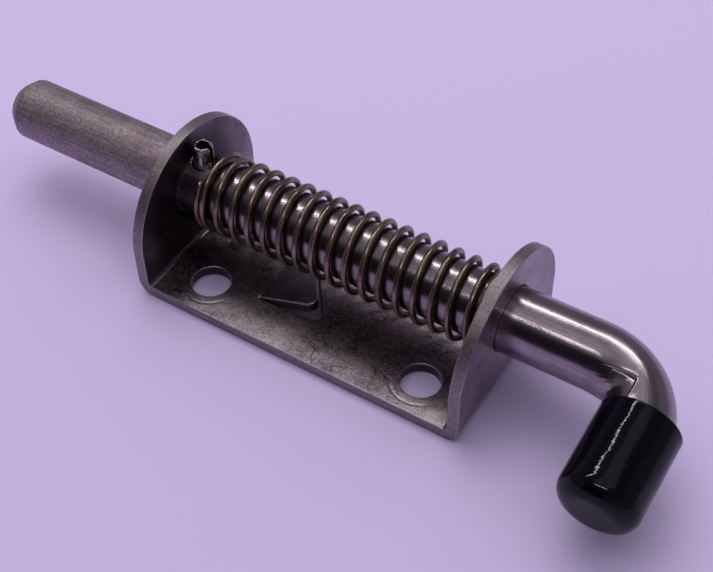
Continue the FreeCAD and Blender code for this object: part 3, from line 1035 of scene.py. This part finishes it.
@dataclass
class SheetBracket:
    """Folded bracket, with the corners of its sheared edges broken."""

    half_length: float
    half_width: float
    bore_height: float
    sheet: float = 2.38 * MM
    fold: float = 1.0 * MM
    hole_x: float = 24.0 * MM
    hole_y: float = 10.75 * MM
    broken_edge: float = 0.22 * MM
    tongue_edge: float = 0.3 * MM
    tongue_reach: float = 14.5 * MM
    slot_half_width: float = 11.5 * MM
    slot_tip_from: float = -1.0 * MM
    slot_drawn_in: tuple[float, float] = (-1.2 * MM, 0.75 * MM)
    slot_below: float = 1.05
    rim: float = 0.1 * MM
    tilt: float = 0.3
    finish: SheetSteel = field(default_factory=SheetSteel)
    worn_edge_highlight: WornEdgeHighlight = field(default_factory=WornEdgeHighlight)

    def cut_faces(self, mesh: bpy.types.Mesh) -> tuple[np.ndarray, np.ndarray]:
        """Which faces were cut through the sheet, as against its two skins.

        A face of the base is cut if it stands upright, and a face of an ear if its normal has no
        part along the bolt. Cut faces away from the outline are the walls of holes.

        Args:
            mesh: The bracket's mesh.

        Returns:
            Faces of the sheared outline and faces of punched holes, each as ones and noughts.
        """
        normals, centres = face_frames(mesh)
        upright = np.abs(normals[:, 2]) < self.tilt
        in_ear = np.abs(centres[:, 0]) > self.half_length - self.sheet - self.fold
        across = np.abs(normals[:, 0]) < self.tilt
        sideways = np.abs(normals[:, 1]) > self.tilt
        above_base = centres[:, 2] > 2 * self.sheet
        cut = np.where(in_ear, across & (sideways | above_base), upright)
        in_base = np.abs(centres[:, 1]) < self.half_width - self.rim
        punched = cut & ~in_ear & in_base
        return cut & ~punched, punched

    def build(self) -> bpy.types.Object:
        """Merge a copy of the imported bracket, break its edges and mark its cut faces.

        Returns:
            The dressed bracket.
        """
        widest = max(self.tongue_edge, self.broken_edge)
        piece = broken_copy("bracket", "sheet_bracket", widest, self.edge_weights)
        self.draw_slot_in(piece.data)
        sheared, punched = self.cut_faces(piece.data)
        mark_faces(piece, "sheared", sheared)
        mark_faces(piece, "punched", punched)
        material = self.finish.material(
            self.hole_x, self.hole_y, self.bore_height, self.half_length - self.sheet / 2)
        dress(piece, material, Body.BRACKET, "bracket")
        # The broken edges take the paler edge material: rubbed wear with a painted highlight.
        piece.data.materials.append(self.worn_edge_highlight.material())
        piece.modifiers["broken_edges"].material = 1
        return piece

    def draw_slot_in(self, mesh: bpy.types.Mesh) -> None:
        """Draw the rounded tip of the tongue's slot back towards the tongue, all its points by one step.

        Args:
            mesh: The bracket's mesh.
        """
        points = np.empty(len(mesh.vertices) * 3, np.float32)
        mesh.vertices.foreach_get("co", points)
        points = points.reshape(-1, 3)
        at_tip = (np.abs(points[:, 1]) < self.slot_half_width) & (points[:, 2] < self.slot_below * self.sheet)
        at_tip &= (points[:, 0] > self.slot_tip_from) & (points[:, 0] < self.tongue_reach)
        points[at_tip, :2] += self.slot_drawn_in
        mesh.vertices.foreach_set("co", points.ravel())

    def edge_weights(self, centres: np.ndarray) -> np.ndarray:
        """Share of the widest edge break that each edge gets: more round the tongue and its slot.

        Args:
            centres: Middle of each edge.

        Returns:
            Weights from nought to one.
        """
        at_tongue = np.abs(centres[:, 0]) < self.tongue_reach
        at_tongue &= np.abs(centres[:, 1]) < self.slot_half_width
        widest = max(self.tongue_edge, self.broken_edge)
        return np.where(at_tongue, self.tongue_edge, self.broken_edge) / widest


def broken_copy(node: str, name: str, width: float,
                weights: Callable[[np.ndarray], np.ndarray]) -> bpy.types.Object:
    """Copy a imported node, merge its loose triangles and round its sharp edges.

    Args:
        node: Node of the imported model.
        name: Name of the copy.
        width: Width of the rounding.
        weights: Function from edge middles to shares of that width.

    Returns:
        The linked copy, with a Bevel modifier.
    """
    mesh = frame["nodes"][node].data.copy()
    mesh.name = name
    if "custom_normal" in mesh.attributes:
        mesh.attributes.remove(mesh.attributes["custom_normal"])
    work = bmesh.new()
    work.from_mesh(mesh)
    bmesh.ops.remove_doubles(work, verts=work.verts, dist=MERGE_DISTANCE)
    bmesh.ops.dissolve_limit(work, angle_limit=math.radians(FLAT_DEG), verts=work.verts, edges=work.edges)
    bends = np.array([edge.calc_face_angle(0.0) for edge in work.edges])
    work.to_mesh(mesh)
    work.free()
    ends = np.empty(len(mesh.edges) * 2, np.int32)
    mesh.edges.foreach_get("vertices", ends)
    points = np.empty(len(mesh.vertices) * 3, np.float32)
    mesh.vertices.foreach_get("co", points)
    centres = points.reshape(-1, 3)[ends.reshape(-1, 2)].mean(axis=1)
    share = np.where(bends > math.radians(SHARP_DEG), weights(centres), 0.0)
    attribute = mesh.attributes.new("bevel_weight_edge", "FLOAT", "EDGE")
    attribute.data.foreach_set("value", share.astype(np.float32))
    mesh.polygons.foreach_set("use_smooth", np.ones(len(mesh.polygons), bool))
    piece = bpy.data.objects.new(name, mesh)
    bpy.context.scene.collection.objects.link(piece)
    bevel = piece.modifiers.new("broken_edges", "BEVEL")
    bevel.limit_method = "WEIGHT"
    bevel.width = width
    bevel.segments = 3
    bevel.use_clamp_overlap = False
    bevel.harden_normals = True
    return piece


@dataclass
class RollPin:
    """Slotted pin across the bolt."""

    centre_x: float
    broken_edge: float = 0.14 * MM
    facing: float = 0.5
    finish: RolledPinSteel = field(default_factory=RolledPinSteel)

    def inside(self, mesh: bpy.types.Mesh) -> np.ndarray:
        """Which faces look in at the pin's own axis: those whose normal points against their offset.

        Args:
            mesh: The pin's mesh.

        Returns:
            One for a face of the bore and nought for the rest.
        """
        normals, centres = face_frames(mesh)
        offset = centres[:, :2] - np.array([self.centre_x, 0])
        return np.sum(offset * normals[:, :2], axis=1) < -self.facing * np.hypot(*offset.T)

    def build(self) -> bpy.types.Object:
        """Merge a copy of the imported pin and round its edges.

        Returns:
            The dressed pin.
        """
        piece = broken_copy("cross_pin", "roll_pin", self.broken_edge, lambda centres: np.ones(len(centres)))
        mark_faces(piece, "inside", self.inside(piece.data))
        dress(piece, self.finish.material(), Body.BOLT, "cross_pin")
        return piece


@dataclass(frozen=True)
class Lamp:
    """Flat lamp that faces the latch: where it hangs, its length and width, its power and what it lights."""

    name: str
    place: tuple[float, float, float]
    size: tuple[float, float]
    watts: float
    shows: Shows


LAMPS = (
    Lamp("back_strip", place=(-0.30, 0.315, 0.78), size=(1.20, 0.03), watts=2.9, shows=Shows.SHINY),
    Lamp("front_strip", place=(0.02, -0.43, 0.80), size=(0.50, 0.03), watts=0.8, shows=Shows.SHINY),
    Lamp("lit_ceiling", place=(0.10, -0.06, 0.95), size=(0.90, 0.60), watts=0.7, shows=Shows.ALL),
    Lamp("soft_lamp", place=(-0.30, 0.30, 0.78), size=(0.60, 0.60), watts=2.2, shows=Shows.MATT),
    Lamp("fill", place=(-0.35, 0.55, 0.9), size=(3.4, 3.4), watts=31.0, shows=Shows.MATT),
)


@dataclass
class Studio:
    """Pale table in a dim room with narrow lamps and a lit ceiling, and the camera."""

    table: str = "#C8B9E2"
    wall: str = "#DCD3EA"
    horizon: tuple[float, float] = (0.4, 0.66)
    horizon_level: tuple[float, float] = (0.3, 0.15)
    overhead: tuple[float, float] = (0.76, 0.98)
    overhead_level: float = 0.2
    dark_front: tuple[float, float, float] = (-0.24, -0.97, 0.0)
    dark_spread: tuple[float, float] = (0.86, 0.95)
    dark_top: tuple[float, float] = (0.72, 0.84)
    dark_share: float = 0.96
    camera_place: tuple[float, float, float] = (0.09978, -0.14733, 0.19585)
    camera_right: tuple[float, float, float] = (0.84506, 0.53447, -0.01478)
    camera_up: tuple[float, float, float] = (-0.38297, 0.62435, 0.68082)
    lens: float = 67.7
    sensor_width: float = 36.0
    clip_start: float = 0.01
    table_size: float = 3.0
    paper_mm: float = 60.0

    def build_table(self) -> None:
        """Lay the plain table under the latch."""
        half = self.table_size / 2
        corners = np.array([[-half, -half, 0], [half, -half, 0], [half, half, 0], [-half, half, 0]])
        mesh = bpy.data.meshes.new("table")
        mesh.from_pydata(corners.tolist(), [], [(0, 1, 2, 3)])
        table = bpy.data.objects.new("table", mesh)
        bpy.context.scene.collection.objects.link(table)
        material, tree = blank_material("matt_table_paper")
        place = add_node(tree, "ShaderNodeTexCoord", {}).outputs["Object"]
        grain = add_node(tree, "ShaderNodeTexNoise", {
            "Vector": place, "Scale": per_metre(self.paper_mm), "Detail": 2.0})
        rough = add_node(tree, "ShaderNodeMapRange", {
            "Value": grain.outputs["Fac"], "To Min": 0.55, "To Max": 0.7})
        shader = add_node(tree, "ShaderNodeBsdfPrincipled", {
            "Base Color": linear(self.table), "Roughness": rough.outputs[0], "Specular IOR Level": 0.2})
        add_node(tree, "ShaderNodeOutputMaterial", {"Surface": shader.outputs[0]})
        mesh.materials.append(material)

    def build_world(self) -> None:
        """Shade the room: pale at the horizon, dim at mid height, brighter overhead and dark in front."""
        world = bpy.data.worlds.new("dim_room")
        bpy.context.scene.world = world
        world.use_nodes = True
        tree = world.node_tree
        tree.nodes.clear()
        way = add_node(tree, "ShaderNodeTexCoord", {}).outputs["Generated"]
        height = add_node(tree, "ShaderNodeSeparateXYZ", {0: way}).outputs["Z"]
        low = add_node(tree, "ShaderNodeMapRange", {
            "Value": height, "From Min": self.horizon[0], "From Max": self.horizon[1],
            "To Min": self.horizon_level[0], "To Max": self.horizon_level[1]},
            interpolation_type="SMOOTHSTEP")
        high = add_node(tree, "ShaderNodeMapRange", {
            "Value": height, "From Min": self.overhead[0], "From Max": self.overhead[1],
            "To Min": 0.0, "To Max": self.overhead_level}, interpolation_type="SMOOTHSTEP")
        both = add_node(tree, "ShaderNodeMath", {0: low.outputs[0], 1: high.outputs[0]}, operation="ADD")
        level_way = add_node(tree, "ShaderNodeVectorMath", {0: way, 1: (1, 1, 0)}, operation="MULTIPLY")
        bearing = add_node(tree, "ShaderNodeVectorMath", {0: level_way.outputs[0]}, operation="NORMALIZE")
        front = add_node(tree, "ShaderNodeVectorMath", {
            0: bearing.outputs[0], 1: self.dark_front}, operation="DOT_PRODUCT")
        ahead = add_node(tree, "ShaderNodeMapRange", {
            "Value": front.outputs["Value"], "From Min": self.dark_spread[0], "From Max": self.dark_spread[1],
            "To Min": 0.0, "To Max": self.dark_share}, interpolation_type="SMOOTHSTEP")
        below = add_node(tree, "ShaderNodeMapRange", {
            "Value": height, "From Min": self.dark_top[0], "From Max": self.dark_top[1],
            "To Min": 1.0, "To Max": 0.0}, interpolation_type="SMOOTHSTEP")
        dark = add_node(tree, "ShaderNodeMath", {
            0: ahead.outputs[0], 1: below.outputs[0]}, operation="MULTIPLY")
        lit = add_node(tree, "ShaderNodeMath", {0: 1.0, 1: dark.outputs[0]}, operation="SUBTRACT")
        level = add_node(tree, "ShaderNodeMath", {
            0: both.outputs[0], 1: lit.outputs[0]}, operation="MULTIPLY")
        room = add_node(tree, "ShaderNodeBackground", {
            "Color": linear(self.wall), "Strength": level.outputs[0]})
        add_node(tree, "ShaderNodeOutputWorld", {"Surface": room.outputs[0]})

    def hang(self, lamp: Lamp) -> None:
        """Hang a lamp and turn it to the latch.

        Args:
            lamp: The lamp.
        """
        light = bpy.data.lights.new(lamp.name, "AREA")
        light.shape = "RECTANGLE"
        light.size, light.size_y = lamp.size
        light.energy = lamp.watts
        hung = bpy.data.objects.new(lamp.name, light)
        aim = (-Vector(lamp.place)).to_track_quat("-Z", "Y").to_matrix().to_4x4()
        hung.matrix_world = Matrix.Translation(lamp.place) @ aim
        hung.visible_glossy = lamp.shows is not Shows.MATT
        hung.visible_diffuse = lamp.shows is not Shows.SHINY
        bpy.context.scene.collection.objects.link(hung)

    def build_camera(self) -> None:
        """Set the camera in front and above, looking down at the latch."""
        right, up = Vector(self.camera_right), Vector(self.camera_up)
        turn = Matrix((right, up, right.cross(up))).transposed().to_4x4()
        camera = bpy.data.cameras.new("camera")
        camera.lens = self.lens
        camera.sensor_width = self.sensor_width
        camera.clip_start = self.clip_start
        holder = bpy.data.objects.new("camera", camera)
        holder.matrix_world = Matrix.Translation(self.camera_place) @ turn
        bpy.context.scene.collection.objects.link(holder)
        bpy.context.scene.camera = holder

    def build(self) -> None:
        """Set up table, light and camera."""
        self.build_camera()
        self.build_table()
        self.build_world()
        for lamp in LAMPS:
            self.hang(lamp)
        bpy.context.scene.view_settings.view_transform = "Standard"


def corners(bounds: Any) -> list[list[float]]:
    """Plain lists of numbers from a box's two corners."""
    return [[float(value) for value in corner] for corner in bounds]


def main() -> None:
    """Build the latch's pieces and the studio."""
    logging.basicConfig(level=logging.INFO, format="%(name)s: %(message)s")
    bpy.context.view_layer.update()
    joints = {joint["name"]: joint for joint in frame["joints"]}
    axis = BoltAxis(height=joints["bolt_turn"]["pos_m"][2])
    bar_low, bar_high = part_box("bolt_rod")
    bracket_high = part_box("bracket")[1]
    pin_low, pin_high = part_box("cross_pin")
    spring_low, spring_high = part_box("spring")
    cap_low, cap_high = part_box("handle_cap")
    handle_x = (cap_low.x + cap_high.x) / 2
    radius = bar_high.x - handle_x
    pin_x = (pin_low.x + pin_high.x) / 2
    SheetBracket(half_length=bracket_high.x, half_width=bracket_high.y, bore_height=axis.height).build()
    BentBar(axis=axis, radius=radius, nose_x=bar_low.x, handle_x=handle_x, pin_x=pin_x,
            ear_outer_x=bracket_high.x).build()
    RollPin(centre_x=pin_x).build()
    CoilSpring(axis=axis, start_x=spring_low.x, end_x=spring_high.x, bar_radius=radius,
               travel=joints["bolt_slide"]["range_m"][1]).build()
    DippedCap(axis=axis, handle_x=handle_x, bar_radius=radius, radius=(cap_high.x - cap_low.x) / 2).build()
    Studio().build()


if __name__ == "__main__":
    main()
